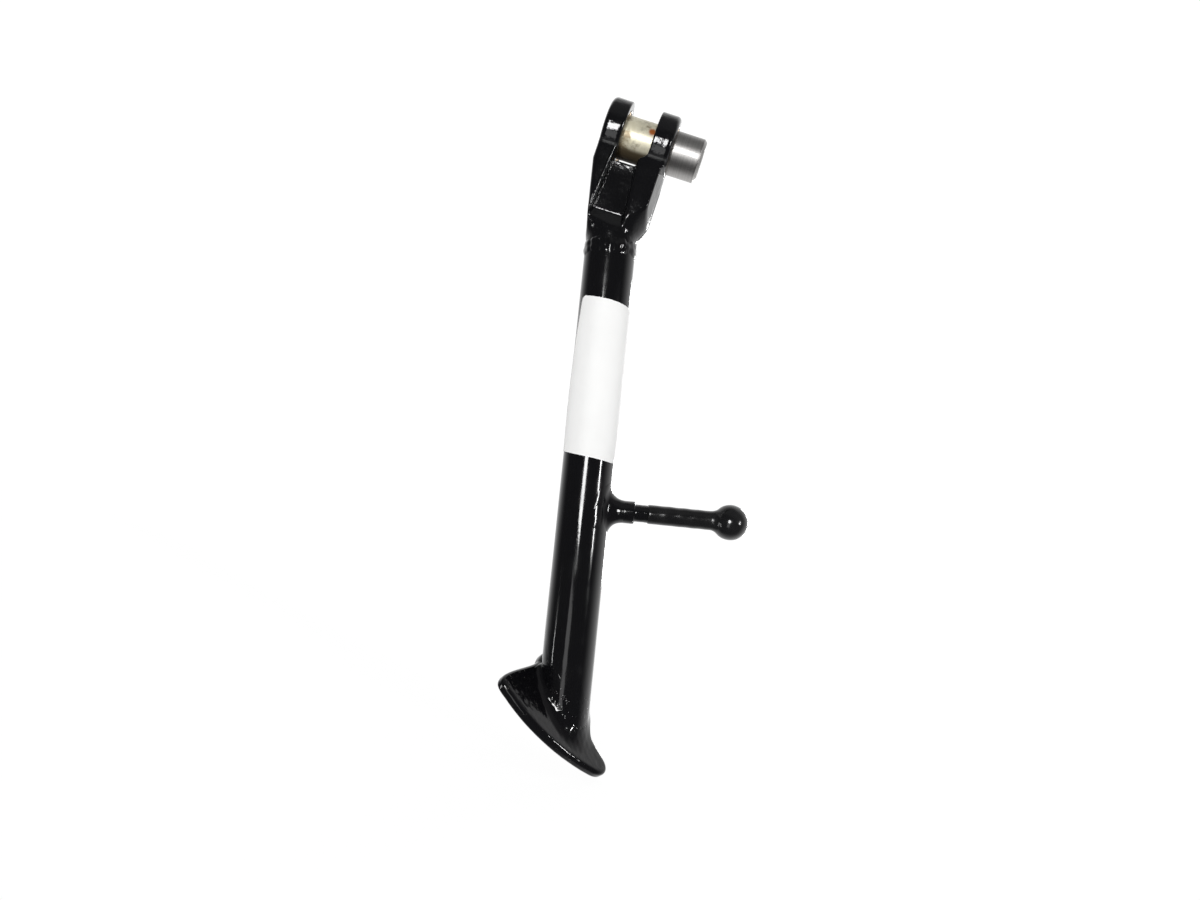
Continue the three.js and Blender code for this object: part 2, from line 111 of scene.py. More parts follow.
def bar_line(node):
    """The axis of a long round CAD bar that lies in the XZ plane, from where it crosses Z zero.

    The bar looks narrowest from along its own axis.
    """
    most_lean = math.radians(30)
    rounds, tries = 6, 21
    vertices = corners(node)
    low, high = 0.0, most_lean
    for _ in range(rounds):
        angles = np.linspace(low, high, tries)
        widths = [np.ptp(vertices @ (math.cos(a), 0, math.sin(a))) for a in angles]
        angle = angles[np.argmin(widths)]
        low, high = angle - (angles[1] - angles[0]), angle + (angles[1] - angles[0])
    across = np.array((math.cos(angle), 0, math.sin(angle)))
    sides = vertices @ across
    start = (sides.min() + sides.max()) / 2 / across[0]
    return Line((start, 0, 0), (math.sin(angle), 0, -math.cos(angle)), across, FRONT)


leg = bar_line("leg_tube")

# The kick lever is square to the leg.
lever_levels = (corners("lever_boss") - leg.origin) @ leg.along
LEVER_STATION = (lever_levels.min() + lever_levels.max()) / 2
lever = Line(leg.origin + LEVER_STATION * leg.along, leg.across, leg.along, FRONT)

SLEEVE_LOW, SLEEVE_HIGH, SLEEVE_BORE, SLEEVE_RADIUS = reach("pivot_sleeve", pivot)
TUBE_TOP, _, TUBE_BORE, TUBE_RADIUS = reach("leg_tube", leg)
BEAD_TOP, BEAD_END, _, _ = reach("head_weld", leg)

# The CAD leaves this gap between pieces that touch.
GAP = 0.3
EAR_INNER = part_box("ear_bush_outboard")[0].x / MM - GAP
EAR_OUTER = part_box("ear_bush_outboard")[1].x / MM + GAP
EAR_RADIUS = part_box("fork_head")[1].z / MM
EAR_BORE = reach("ear_bush_outboard", pivot)[3] + GAP
SIDE_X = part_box("fork_head")[1].x / MM

# The foot plate lies on the record's sole face. FOOT_TURN turns it about its upward normal, in degrees.
sole = next(m for m in frame["record"]["mounts"] if m["name"] == "sole")
FOOT_UP = -np.array(sole["axis"], float)
FOOT_THICKNESS = 4.6
FOOT_TURN = 15


# ---------------------------------------------------------------- camera

CAMERA_PLACE = Vector((0.033945, -0.344319, -0.155213))
CAMERA_ROLL = math.radians(18.5)
CAMERA_TILT = math.radians(3.6)
CAMERA_LENS = 24
CAMERA_SENSOR = 36


def make_camera():
    """Level with the middle of the leg, looking to the rear and a little up, rolled so the head leans."""
    right = Vector((math.cos(CAMERA_ROLL), 0, math.sin(CAMERA_ROLL)))
    rolled_up = Vector((-math.sin(CAMERA_ROLL), 0, math.cos(CAMERA_ROLL)))
    rolled_back = Vector(FRONT)
    back = math.cos(CAMERA_TILT) * rolled_back - math.sin(CAMERA_TILT) * rolled_up
    up = math.cos(CAMERA_TILT) * rolled_up + math.sin(CAMERA_TILT) * rolled_back
    data = bpy.data.cameras.new("camera")
    data.lens = CAMERA_LENS
    data.sensor_width = CAMERA_SENSOR
    data.clip_start = 0.01
    data.clip_end = 30
    camera = bpy.data.objects.new("camera", data)
    turn = Matrix((right, up, back)).transposed().to_4x4()
    camera.matrix_world = Matrix.Translation(CAMERA_PLACE) @ turn
    bpy.context.scene.collection.objects.link(camera)
    bpy.context.scene.camera = camera


# ---------------------------------------------------------------- fields

def join(a, b, fillet=0.0):
    """Both solids together, with a fillet where they meet."""
    if fillet == 0:
        return np.minimum(a, b)
    near = np.hypot(np.maximum(fillet - a, 0), np.maximum(fillet - b, 0))
    return np.maximum(fillet, np.minimum(a, b)) - near


def common(a, b, edge=0.0):
    """What both solids share, with a rounded edge where their skins meet."""
    return -join(-a, -b, edge)


def cut(a, b, edge=0.0):
    """The first solid less the second."""
    return common(a, -b, edge)


def inside_outline(u, v, outline):
    """Distance to a closed outline in its own plane."""
    nearest = np.inf
    inside = False
    for (au, av), (bu, bv) in zip(outline, outline[1:] + outline[:1]):
        eu, ev = bu - au, bv - av
        share = np.clip(((u - au) * eu + (v - av) * ev) / (eu * eu + ev * ev), 0, 1)
        nearest = np.minimum(nearest, (u - au - share * eu) ** 2 + (v - av - share * ev) ** 2)
        slope = eu / ev if ev else 0.0
        inside = inside ^ (((av > v) != (bv > v)) & (u < au + slope * (v - av)))
    return np.where(inside, -1, 1) * np.sqrt(nearest)


def waves(seed, wavelength, height, count=11):
    """A smooth random ripple, as a function of place."""
    random = np.random.default_rng(seed)
    ways = random.normal(size=(count, 3))
    ways /= np.linalg.norm(ways, axis=1)[:, None]
    numbers = TAU / (wavelength * random.uniform(0.7, 1.7, count))
    starts = random.uniform(0, TAU, count)

    def ripple(x, y, z):
        total = 0
        for way, number, start in zip(ways, numbers, starts):
            total = total + np.sin(number * (way[0] * x + way[1] * y + way[2] * z) + start)
        return height * total / math.sqrt(count)

    return ripple


def slope_of(field, points):
    """The field's value and gradient at points, from small steps along each axis."""
    small = 0.02
    value = field(*points.T)
    gradient = np.empty_like(points)
    for axis in range(3):
        moved = points.copy()
        moved[:, axis] += small
        gradient[:, axis] = (field(*moved.T) - value) / small
    return value, gradient


def surface_net(values, low, step):
    """Vertices and quads of the zero surface of a grid of field values."""
    inside = values < 0
    shape = np.array(values.shape) - 1
    crossed = np.zeros(shape, bool)
    total = np.zeros((*shape, 3))
    count = np.zeros(shape)
    for axis in range(3):
        others = [a for a in range(3) if a != axis]
        head = [slice(None)] * 3
        tail = [slice(None)] * 3
        head[axis], tail[axis] = slice(None, -1), slice(1, None)
        first, last = values[tuple(head)], values[tuple(tail)]
        change = (first < 0) != (last < 0)
        share = np.where(change, first / np.where(change, first - last, 1), 0)
        for du in (0, 1):
            for dv in (0, 1):
                part = [slice(None)] * 3
                part[others[0]] = slice(du, shape[others[0]] + du)
                part[others[1]] = slice(dv, shape[others[1]] + dv)
                here = change[tuple(part)]
                crossed |= here
                count += here
                total[..., axis] += np.where(here, share[tuple(part)], 0)
                total[..., others[0]] += here * du
                total[..., others[1]] += here * dv
    number = np.full(shape, -1)
    number[crossed] = np.arange(crossed.sum())
    cells = np.argwhere(crossed)
    points = low + step * (cells + total[crossed] / count[crossed][:, None])
    quads = []
    for axis in range(3):
        u, v = (axis + 1) % 3, (axis + 2) % 3
        head = [slice(1, -1)] * 3
        tail = [slice(1, -1)] * 3
        head[axis], tail[axis] = slice(None, -1), slice(1, None)
        first, last = inside[tuple(head)], inside[tuple(tail)]
        for way in (1, -1):
            edges = np.argwhere(first & ~last if way == 1 else ~first & last)
            edges[:, u] += 1
            edges[:, v] += 1
            ring = []
            for du, dv in ((0, 0), (-1, 0), (-1, -1), (0, -1)):
                cell = edges.copy()
                cell[:, u] += du
                cell[:, v] += dv
                ring.append(number[tuple(cell.T)])
            quads.append(np.stack(ring[::way], axis=1))
    return points, np.concatenate(quads)


# ---------------------------------------------------------------- meshes

def make_piece(name, points, faces, material, body, node):
    """A smooth-shaded piece from points in millimetres, riding on a body in place of a CAD node."""
    mesh = bpy.data.meshes.new(name)
    mesh.from_pydata((np.asarray(points) * MM).tolist(), [], np.asarray(faces, object).tolist())
    mesh.validate()
    mesh.shade_smooth()
    mesh.materials.append(material)
    piece = bpy.data.objects.new(name, mesh)
    bpy.context.scene.collection.objects.link(piece)
    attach(piece, body)
    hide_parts(node)
    return piece


def field_mesh(field, low, high, step, ripple=None, origin=(0, 0, 0), axes=np.eye(3)):
    """Meshes a field drawn in a local frame, and gives its points in the row frame."""
    low, high = np.array(low, float), np.array(high, float)
    ticks = [np.arange(low[a], high[a] + step, step) for a in range(3)]
    grid = np.meshgrid(*ticks, indexing="ij", sparse=True)
    values = np.broadcast_to(field(*grid), [len(t) for t in ticks])
    points, quads = surface_net(values, low, step)
    for _ in range(3):
        value, gradient = slope_of(field, points)
        size = np.maximum((gradient ** 2).sum(axis=1), 0.05)
        shift = np.clip(value / size, -step / 2, step / 2)
        points = points - shift[:, None] * gradient
    if ripple is not None:
        _, gradient = slope_of(field, points)
        normal = gradient / np.maximum(np.linalg.norm(gradient, axis=1), 1e-6)[:, None]
        points = points + normal * ripple(*points.T)[:, None]
    return np.array(origin) + points @ np.array(axes), quads


def rounded(profile, closed=True, steps=5):
    """A profile of (along, radius, corner radius) points, with its corners rounded."""
    count = len(profile)
    done = []
    for i, (along, radius, corner) in enumerate(profile):
        here = np.array((along, radius), float)
        if corner == 0 or (not closed and i in (0, count - 1)):
            done.append(here)
            continue
        before = np.array(profile[i - 1][:2], float) - here
        after = np.array(profile[(i + 1) % count][:2], float) - here
        before /= np.linalg.norm(before)
        after /= np.linalg.norm(after)
        half = math.acos(np.clip(before @ after, -1, 1)) / 2
        start = here + before * corner / math.tan(half)
        end = here + after * corner / math.tan(half)
        bisector = (before + after) / np.linalg.norm(before + after)
        centre = here + bisector * corner / math.sin(half)
        for share in np.linspace(0, 1, steps + 1):
            way = (start - centre) * (1 - share) + (end - centre) * share
            done.append(centre + way * corner / np.linalg.norm(way))
    return np.array(done)


def spread(profile, step, closed=True):
    """The same profile with long stretches divided up."""
    done = []
    count = len(profile)
    for i in range(count if closed else count - 1):
        a, b = profile[i], profile[(i + 1) % count]
        parts = max(1, math.ceil(np.linalg.norm(b - a) / step))
        for k in range(parts):
            done.append(a + (b - a) * k / parts)
    if not closed:
        done.append(profile[-1])
    return np.array(done)


def turned_mesh(line, profile, sides, closed=True, relief=None):
    """A profile turned about a line. An open profile starts and ends on the line.

    relief gives what to add to the distance along and to the radius, by along, radius and angle.
    """
    angle = np.linspace(0, TAU, sides, endpoint=False)
    along = np.repeat(profile[:, 0][:, None], sides, axis=1)
    radius = np.repeat(profile[:, 1][:, None], sides, axis=1)
    angles = np.repeat(angle[None], len(profile), axis=0)
    if relief is not None:
        further, out = relief(along, radius, angles)
        along = along + further
        radius = np.where(radius > 1e-6, radius + out, 0)
    points = line.points(along, radius, angles).reshape(-1, 3)
    rings = len(profile)
    index = np.arange(rings * sides).reshape(rings, sides)
    if not closed:
        index[0] = index[0, 0]
        index[-1] = index[-1, 0]
    faces = []
    for ring in range(rings if closed else rings - 1):
        a, b = index[ring], index[(ring + 1) % rings]
        for side in range(sides):
            after = (side + 1) % sides
            quad = [a[side], a[after], b[after], b[side]]
            faces.append(list(dict.fromkeys(int(q) for q in quad)))
    used = sorted({q for face in faces for q in face})
    renumber = {old: new for new, old in enumerate(used)}
    return points[used], [[renumber[q] for q in face] for face in faces]


def turned_piece(name, line, profile, material, body, node, sides=128, closed=True, relief=None):
    points, faces = turned_mesh(line, profile, sides, closed, relief)
    piece = make_piece(name, points, faces, material, body, node)
    face_outwards(piece)


def face_outwards(piece):
    """Turns a closed mesh's faces to point out."""
    mesh = piece.data
    volume = sum(
        (mesh.vertices[p.vertices[0]].co - mesh.vertices[0].co).dot(p.normal) * p.area for p in mesh.polygons
    )
    if volume < 0:
        mesh.flip_normals()


# ---------------------------------------------------------------- materials

class Nodes:
    """A material's node tree, with short calls to add and join nodes."""

    def __init__(self, name):
        self.material = bpy.data.materials.new(name)
        self.material.use_nodes = True
        self.tree = self.material.node_tree
        self.shader = self.tree.nodes["Principled BSDF"]
        self.place = self.add("ShaderNodeTexCoord").outputs["Object"]

    def add(self, kind, settings=None, **inputs):
        node = self.tree.nodes.new(kind)
        for name, value in (settings or {}).items():
            setattr(node, name, value)
        for name, value in inputs.items():
            self.feed(node, name.replace("_", " "), value)
        return node

    def feed(self, node, name, value):
        if isinstance(value, bpy.types.NodeSocket):
            self.tree.links.new(value, node.inputs[name])
        else:
            node.inputs[name].default_value = value

    def set(self, **inputs):
        for name, value in inputs.items():
            self.feed(self.shader, name.replace("_", " "), value)

    def noise(self, scale, detail=2.0, roughness=0.5, vector=None):
        """Noise with a scale in cycles a metre."""
        node = self.add("ShaderNodeTexNoise", Scale=scale, Detail=detail, Roughness=roughness)
        self.feed(node, "Vector", vector if vector is not None else self.place)
        return node.outputs["Fac"]

    def ramp(self, value, low, high, start=0.0, end=1.0):
        """A smooth step from start to end as value goes from low to high."""
        settings = {"interpolation_type": "SMOOTHSTEP"}
        node = self.add("ShaderNodeMapRange", settings)
        node.inputs["Value"].default_value = 0
        self.tree.links.new(value, node.inputs["Value"])
        for name, number in (("From Min", low), ("From Max", high), ("To Min", start), ("To Max", end)):
            node.inputs[name].default_value = number
        return node.outputs["Result"]

    def mix(self, share, first, second):
        """A mix of two colours."""
        node = self.add("ShaderNodeMix", {"data_type": "RGBA"})
        for socket, value in ((0, share), (6, first), (7, second)):
            if isinstance(value, bpy.types.NodeSocket):
                self.tree.links.new(value, node.inputs[socket])
            else:
                node.inputs[socket].default_value = value if socket == 0 else (*value, 1)
        return node.outputs[2]

    def sum(self, first, second, operation="ADD"):
        node = self.add("ShaderNodeMath", {"operation": operation})
        for socket, value in enumerate((first, second)):
            if isinstance(value, bpy.types.NodeSocket):
                self.tree.links.new(value, node.inputs[socket])
            else:
                node.inputs[socket].default_value = value
        return node.outputs[0]

    def bump(self, height, depth, normal=None):
        """Relief of a real depth in metres."""
        node = self.add("ShaderNodeBump", Strength=1.0, Distance=depth, Height=height)
        if normal is not None:
            self.tree.links.new(normal, node.inputs["Normal"])
        return node.outputs["Normal"]

    def split(self):
        """The place's X, Y and Z."""
        node = self.add("ShaderNodeSeparateXYZ", Vector=self.place)
        return node.outputs


# Depth of the paint's orange peel, in metres.
PEEL_HEAD = 0.00006
PEEL_TUBE = 0.000006

# The paint is dull in the crease under the ears: its height and half its width, in metres.
CREASE_Z = -0.0091
CREASE_HALF = 0.0016


def black_paint(name, peel, scuffs=0.0, crease_z=None):
    """Gloss black paint over steel: orange peel of a given depth, faint dust, dull patches and scuffs."""
    nodes = Nodes(name)
    patch = nodes.noise(90, 3)
    dust = nodes.ramp(nodes.noise(900, 4, 0.7), 0.66, 0.74)
    tone = nodes.mix(dust, (0.003, 0.003, 0.0036), (0.016, 0.016, 0.016))
    shine = nodes.ramp(patch, 0.35, 0.75, 0.07, 0.16)
    shine = nodes.sum(shine, nodes.sum(dust, 0.12, "MULTIPLY"))
    if crease_z is not None:
        z = nodes.split()["Z"]
        under = nodes.ramp(z, crease_z - CREASE_HALF, crease_z)
        over = nodes.ramp(z, crease_z + CREASE_HALF, crease_z)
        shine = nodes.sum(shine, nodes.sum(nodes.sum(under, over, "MULTIPLY"), 0.45, "MULTIPLY"))
    if scuffs:
        stretched = nodes.add("ShaderNodeMapping", Vector=nodes.place, Scale=(0.25, 1.0, 0.6))
        streak = nodes.ramp(nodes.noise(1300, 4, 0.7, stretched.outputs["Vector"]), 0.55, 0.7)
        worn = nodes.sum(nodes.ramp(nodes.noise(110, 3), 0.5, 0.62, 0.0, scuffs), streak, "MULTIPLY")
        tone = nodes.mix(worn, tone, (0.06, 0.058, 0.055))
        shine = nodes.sum(shine, nodes.sum(worn, 0.3, "MULTIPLY"))
    coarse = nodes.bump(nodes.noise(330, 1), peel * 1.4)
    fine = nodes.bump(nodes.noise(820, 2), peel, coarse)
    nodes.set(Base_Color=tone, Roughness=shine, Specular_IOR_Level=0.42, Normal=fine)
    return nodes.material


def sleeve_metal():
    """Turned steel on the stub, and pale stained plating between the ears, with painted shade on its lower
    side.
    """
    nodes = Nodes("sleeve_steel")
    x, _, z = nodes.split()
    rings = nodes.add("ShaderNodeTexNoise", {"noise_dimensions": "1D"}, Scale=2600, Detail=3, W=x)
    rings = rings.outputs["Fac"]
    half = EAR_INNER * MM
    bare = nodes.ramp(x, half, half + 0.002)
    cloud = nodes.noise(220, 3, 0.6)
    # Brown stain from noise, weighted to grow towards the inboard end and, as painted shade, towards the
    # bottom of the sleeve.
    low = nodes.sum(nodes.ramp(z, 0.001, -0.006, 0.0, 0.11), nodes.ramp(x, 0.004, -0.005, 0.0, 0.05))
    stain_and_painted_shade = nodes.ramp(nodes.sum(nodes.noise(120, 5, 0.65), low), 0.53, 0.68)
    smear = nodes.ramp(nodes.noise(330, 3, 0.6), 0.52, 0.72)
    plating = nodes.mix(cloud, (0.5, 0.45, 0.31), (0.8, 0.78, 0.64))
    plating = nodes.mix(nodes.sum(smear, 0.5, "MULTIPLY"), plating, (0.3, 0.28, 0.2))
    plating = nodes.mix(nodes.sum(stain_and_painted_shade, 0.85, "MULTIPLY"), plating, (0.13, 0.085, 0.03))
    plating = nodes.mix(rust_spot(nodes), plating, (0.36, 0.1, 0.015))
    # Painted shade: the plating's underside between the ears, where the sleeve sits in the slot over the web,
    # turns dark brown, less metallic and rougher.
    painted_shade_under_sleeve = nodes.sum(nodes.ramp(z, -0.0055, -0.008), nodes.ramp(x, half, half - 0.001), "MULTIPLY")
    plating = nodes.mix(painted_shade_under_sleeve, plating, (0.05, 0.035, 0.015))
    steel = nodes.mix(rings, (0.2, 0.195, 0.19), (0.5, 0.49, 0.48))
    shine = nodes.sum(nodes.ramp(x, half, half + 0.002, 0.34, 0.36), nodes.sum(rings, 0.1, "MULTIPLY"))
    nodes.set(
        Base_Color=nodes.mix(bare, plating, steel),
        Metallic=nodes.sum(nodes.ramp(x, half, half + 0.002, 0.35, 1.0), painted_shade_under_sleeve, "SUBTRACT"),
        Roughness=nodes.sum(shine, nodes.sum(painted_shade_under_sleeve, 0.4, "MULTIPLY")),
        Normal=nodes.bump(rings, 0.000012),
    )
    return nodes.material


RUST_PLACE = Vector((5.0, -9.2, 1.9)) * MM


def rust_spot(nodes):
    """One rusty patch on the front of the sleeve, close to the outboard ear."""
    away = nodes.add("ShaderNodeVectorMath", {"operation": "DISTANCE"})
    nodes.feed(away, "Vector", nodes.place)
    away.inputs[1].default_value = RUST_PLACE
    ragged = nodes.sum(nodes.noise(600, 3), 0.0026, "MULTIPLY")
    return nodes.ramp(nodes.sum(away.outputs["Value"], ragged), 0.0036, 0.002)


def bronze_metal():
    nodes = Nodes("bush_bronze")
    cloud = nodes.noise(400, 4, 0.6)
    nodes.set(
        Base_Color=nodes.mix(cloud, (0.3, 0.18, 0.07), (0.5, 0.34, 0.16)),
        Metallic=0.9,
        Roughness=nodes.ramp(cloud, 0.3, 0.7, 0.3, 0.5),
        Normal=nodes.bump(nodes.noise(1500, 2), 0.00001),
    )
    return nodes.material


def grip_plastic():
    nodes = Nodes("grip")
    cloud = nodes.noise(200, 3)
    nodes.set(
        Base_Color=nodes.mix(cloud, (0.004, 0.004, 0.0045), (0.009, 0.009, 0.0095)),
        Roughness=nodes.ramp(cloud, 0.3, 0.7, 0.12, 0.24),
        Specular_IOR_Level=0.42,
        Normal=nodes.bump(nodes.noise(700, 3), 0.00002),
    )
    return nodes.material


def sticker_paper():
    nodes = Nodes("sticker")
    fibre = nodes.noise(1600, 5, 0.6)
    cloud = nodes.noise(60, 2)
    tone = nodes.mix(cloud, (0.66, 0.66, 0.655), (0.71, 0.71, 0.705))
    nodes.set(
        Base_Color=nodes.mix(nodes.ramp(fibre, 0.62, 0.8), tone, (0.6, 0.6, 0.59)),
        Roughness=0.6,
        Specular_IOR_Level=0.3,
        Normal=nodes.bump(fibre, 0.000008),
    )
    return nodes.material


head_paint = black_paint("paint_forging", PEEL_HEAD, crease_z=CREASE_Z)
tube_paint = black_paint("paint_tube", PEEL_TUBE)
weld_paint = black_paint("paint_weld", PEEL_TUBE * 2)
foot_paint = black_paint("paint_foot", PEEL_HEAD / 2, 0.9)


# ---------------------------------------------------------------- fork head

# The flat front and rear faces run down past the neck, which ends them.
FACE_Y = 12
FACE_END_Z = -88

# The outboard side slopes from its ridge, where it reaches furthest, to the front and rear faces.
SIDE_EDGE_X = 13.6
SIDE_DRAFT = (SIDE_X - SIDE_EDGE_X) / FACE_Y
SIDE_DRAFT_LEAN = 0.97
SIDE_DRAFT_TOP_Z = -13
SIDE_DRAFT_RISE = 1.2
SEAM_DEPTH = 0.3
SEAM_WIDTH = 0.55

# The slot between the ears.
SLOT_RADIUS = 16.3
SLOT_FLOOR_Z = -11.03

# The pockets, whose floors turn down at the lower end and lean out at the upper one.
POCKET_X = -2
POCKET_FLOOR_Y = 8
POCKET_TOP_Z = -10
POCKET_END_Z = -37
POCKET_HALF_TOP = 4.5
POCKET_HALF_END = 6.45
POCKET_DRAFT = 0.25
POCKET_RAMP = 1.75
PAD_EDGE_LENGTH = 1.1
PAD_EDGE_RADIUS = 2.4
PAD_LEAN_Z = -19.5
PAD_LEAN_RADIUS = 42

# The oval cone that narrows the head to its round neck.
CONE_END_STATION = 43.5
CONE_SLOPE = 0.614
CONE_FLATNESS = 0.82
NECK_MIDDLE_STATION = 44
NECK_END_STATION = 51.6
NECK_MEET_STATION = 50

# Rounding of the head's edges and inner corners.
FACE_EDGE = 2.2
SIDE_EDGE = 0.8
CONE_EDGE = 0.6
NECK_EDGE = 0.8
NECK_FILLET = 1.0
SLOT_END_FILLET = 1.5
SLOT_OUTBOARD_FILLET = 5.0
SLOT_INBOARD_FILLET = 0.8
POCKET_EDGE = 1.4
SLOT_EDGE = 0.6
BORE_EDGE = 0.7


def leg_sides(station, across):
    """A point beside the leg, as (x, z)."""
    point = leg.origin + station * leg.along + across * leg.across
    return point[0], point[2]


def fork_outlines():
    """The head seen from the side, as (y, z), and from the front, as (x, z)."""
    side = [(FACE_Y, -3), (FACE_Y, FACE_END_Z), (-FACE_Y, FACE_END_Z), (-FACE_Y, -3)]
    over = EAR_RADIUS + 3
    front = [
        (-EAR_OUTER, over),
        (-EAR_OUTER, -17),
        leg_sides(NECK_MEET_STATION, -TUBE_RADIUS),
        leg_sides(NECK_MEET_STATION, TUBE_RADIUS),
        (SIDE_X - 1, -42),
        (SIDE_X, -37),
        (SIDE_X, -14),
        (EAR_OUTER, -11),
        (EAR_OUTER, over),
    ]
    return side, front


def pocket_field(x, y, z):
    """The drafted pocket in the front, and its twin in the rear."""
    turned_down = np.clip(POCKET_END_Z + PAD_EDGE_LENGTH - z, 0, PAD_EDGE_LENGTH)
    leaning = np.maximum(z - PAD_LEAN_Z, 0)
    floor = POCKET_FLOOR_Y - turned_down ** 2 / (2 * PAD_EDGE_RADIUS) + leaning ** 2 / (2 * PAD_LEAN_RADIUS)
    depth = np.abs(y) - floor
    drop = POCKET_TOP_Z - z
    widen = (POCKET_HALF_END - POCKET_HALF_TOP) / (POCKET_TOP_Z - POCKET_END_Z)
    half = POCKET_HALF_TOP + widen * drop + POCKET_DRAFT * depth
    flank = (np.abs(x - POCKET_X) - half) / math.hypot(1, POCKET_DRAFT)
    ramp = (POCKET_END_Z - POCKET_RAMP * depth - z) / math.hypot(1, POCKET_RAMP)
    return common(common(flank, ramp, 0.6), -depth, 0.5)


def fork_field():
    side_outline, front_outline = fork_outlines()
    sine, cosine = leg.along[0], -leg.along[2]

    def field(x, y, z):
        station = (x - leg.origin[0]) * sine - z * cosine
        across = (x - leg.origin[0]) * cosine + z * sine
        out = np.hypot(across, y)
        hub = np.hypot(y, z)
        side = join(hub - EAR_RADIUS, inside_outline(y, z, side_outline))
        body = common(side, inside_outline(x, z, front_outline), FACE_EDGE)
        rise = SIDE_DRAFT_RISE * np.maximum(z - SIDE_DRAFT_TOP_Z, 0)
        draft = x - SIDE_X + SIDE_DRAFT * np.abs(y) - rise
        body = common(body, draft * SIDE_DRAFT_LEAN, SIDE_EDGE)
        oval = np.hypot(across * CONE_FLATNESS, y)
        cone = (oval - TUBE_RADIUS - (CONE_END_STATION - station) * CONE_SLOPE) / math.hypot(1, CONE_SLOPE)
        body = common(body, cone, CONE_EDGE)
        neck_span = np.abs(station - NECK_MIDDLE_STATION) - (NECK_END_STATION - NECK_MIDDLE_STATION)
        neck = common(out - TUBE_RADIUS, neck_span, NECK_EDGE)
        body = join(body, neck, NECK_FILLET)
        well = join(hub - SLOT_RADIUS, SLOT_FLOOR_Z - z, SLOT_END_FILLET)
        slot = common(well, x - EAR_INNER, SLOT_OUTBOARD_FILLET)
        slot = common(slot, -x - EAR_INNER, SLOT_INBOARD_FILLET)
        # The pocket is cut before the slot, so that its wide rounding leaves the lip under the sleeve crisp.
        body = cut(body, pocket_field(x, y, z), POCKET_EDGE)
        body = cut(body, slot, SLOT_EDGE)
        body = cut(body, hub - EAR_BORE + 0 * x, BORE_EDGE)
        outboard, below_ears = np.clip((x - 12) / 2, 0, 1), np.clip((-16 - z) / 4, 0, 1)
        seam = SEAM_DEPTH * np.exp(-((y / SEAM_WIDTH) ** 2)) * outboard * below_ears
        return body - seam

    return field


def make_fork_head():
    margin, bottom, step = 1.5, -54, 0.4
    points, quads = field_mesh(
        fork_field(),
        (-EAR_OUTER - margin, -EAR_RADIUS - margin, bottom),
        (SIDE_X + margin, EAR_RADIUS + margin, EAR_RADIUS + margin),
        step,
        waves(11, 6, 0.012),
    )
    make_piece("fork_head_forging", points, quads, head_paint, "stand", "fork_head")


# ---------------------------------------------------------------- pivot

def make_sleeve():
    """A turned tube with its ends chamfered outside and in."""
    outer, inner = 1.2, 0.8
    profile = rounded([
        (SLEEVE_LOW, SLEEVE_BORE + inner, 0.3),
        (SLEEVE_LOW, SLEEVE_RADIUS - outer, 0.4),
        (SLEEVE_LOW + outer, SLEEVE_RADIUS, 0.6),
        (SLEEVE_HIGH - outer, SLEEVE_RADIUS, 0.6),
        (SLEEVE_HIGH, SLEEVE_RADIUS - outer, 0.4),
        (SLEEVE_HIGH, SLEEVE_BORE + inner, 0.3),
        (SLEEVE_HIGH - inner, SLEEVE_BORE, 0.3),
        (SLEEVE_LOW + inner, SLEEVE_BORE, 0.3),
    ])
    turned_piece(
        "sleeve_turned", pivot, spread(profile, 2), sleeve_metal(), "sleeve", "pivot_sleeve"
    )


def make_bush(node, metal):
    low, high, inner, outer = reach(node, pivot)
    edge = 0.35
    profile = rounded([(low, inner, edge), (low, outer, edge), (high, outer, edge), (high, inner, edge)])
    turned_piece(node + "_ring", pivot, profile, metal, "stand", node)


# ---------------------------------------------------------------- foot frame

def foot_frame():
    """The plate's own axes as rows, and where the leg's axis meets its top face."""
    pitch = math.asin(-FOOT_UP[1])
    roll = math.atan2(FOOT_UP[0], FOOT_UP[2])
    turn = (
        Matrix.Rotation(roll, 3, "Y")
        @ Matrix.Rotation(pitch, 3, "X")
        @ Matrix.Rotation(math.radians(FOOT_TURN), 3, "Z")
    )
    axes = np.array(turn.transposed())
    top = np.array(sole["pos_m"], float) / MM + FOOT_UP * FOOT_THICKNESS
    down = (top - leg.origin) @ FOOT_UP / (leg.along @ FOOT_UP)
    return axes, leg.origin + down * leg.along


FOOT_AXES, FOOT_ORIGIN = foot_frame()


# ---------------------------------------------------------------- leg

def make_tube():
    """The tube, cut at its lower end along the plate's top face."""
    top = TUBE_TOP - 0.6
    end = 255.0
    scorch_start, scorch_length = 215, 25
    profile = rounded([
        (top, TUBE_BORE, 0.2),
        (top, TUBE_RADIUS, 0.4),
        (end, TUBE_RADIUS, 0.0),
        (end, TUBE_BORE, 0.0),
    ])
    wobble = waves(21, 40, 0.012)
    rough = waves(22, 2.6, 0.02)

    def relief(along, radius, angle):
        face = leg.points(np.zeros_like(along), radius, angle)
        stop = ((FOOT_ORIGIN - face) @ FOOT_UP) / (leg.along @ FOOT_UP)
        further = (along - top) * (stop - end) / (end - top)
        place = leg.points(along, radius, angle)
        scorched = np.clip((along - scorch_start) / scorch_length, 0, 1)
        out = wobble(*np.moveaxis(place, -1, 0)) + scorched * rough(*np.moveaxis(place, -1, 0))
        return further, out

    turned_piece(
        "tube_drawn", leg, spread(profile, 1.5), tube_paint, "stand", "leg_tube",
        sides=160, relief=relief,
    )


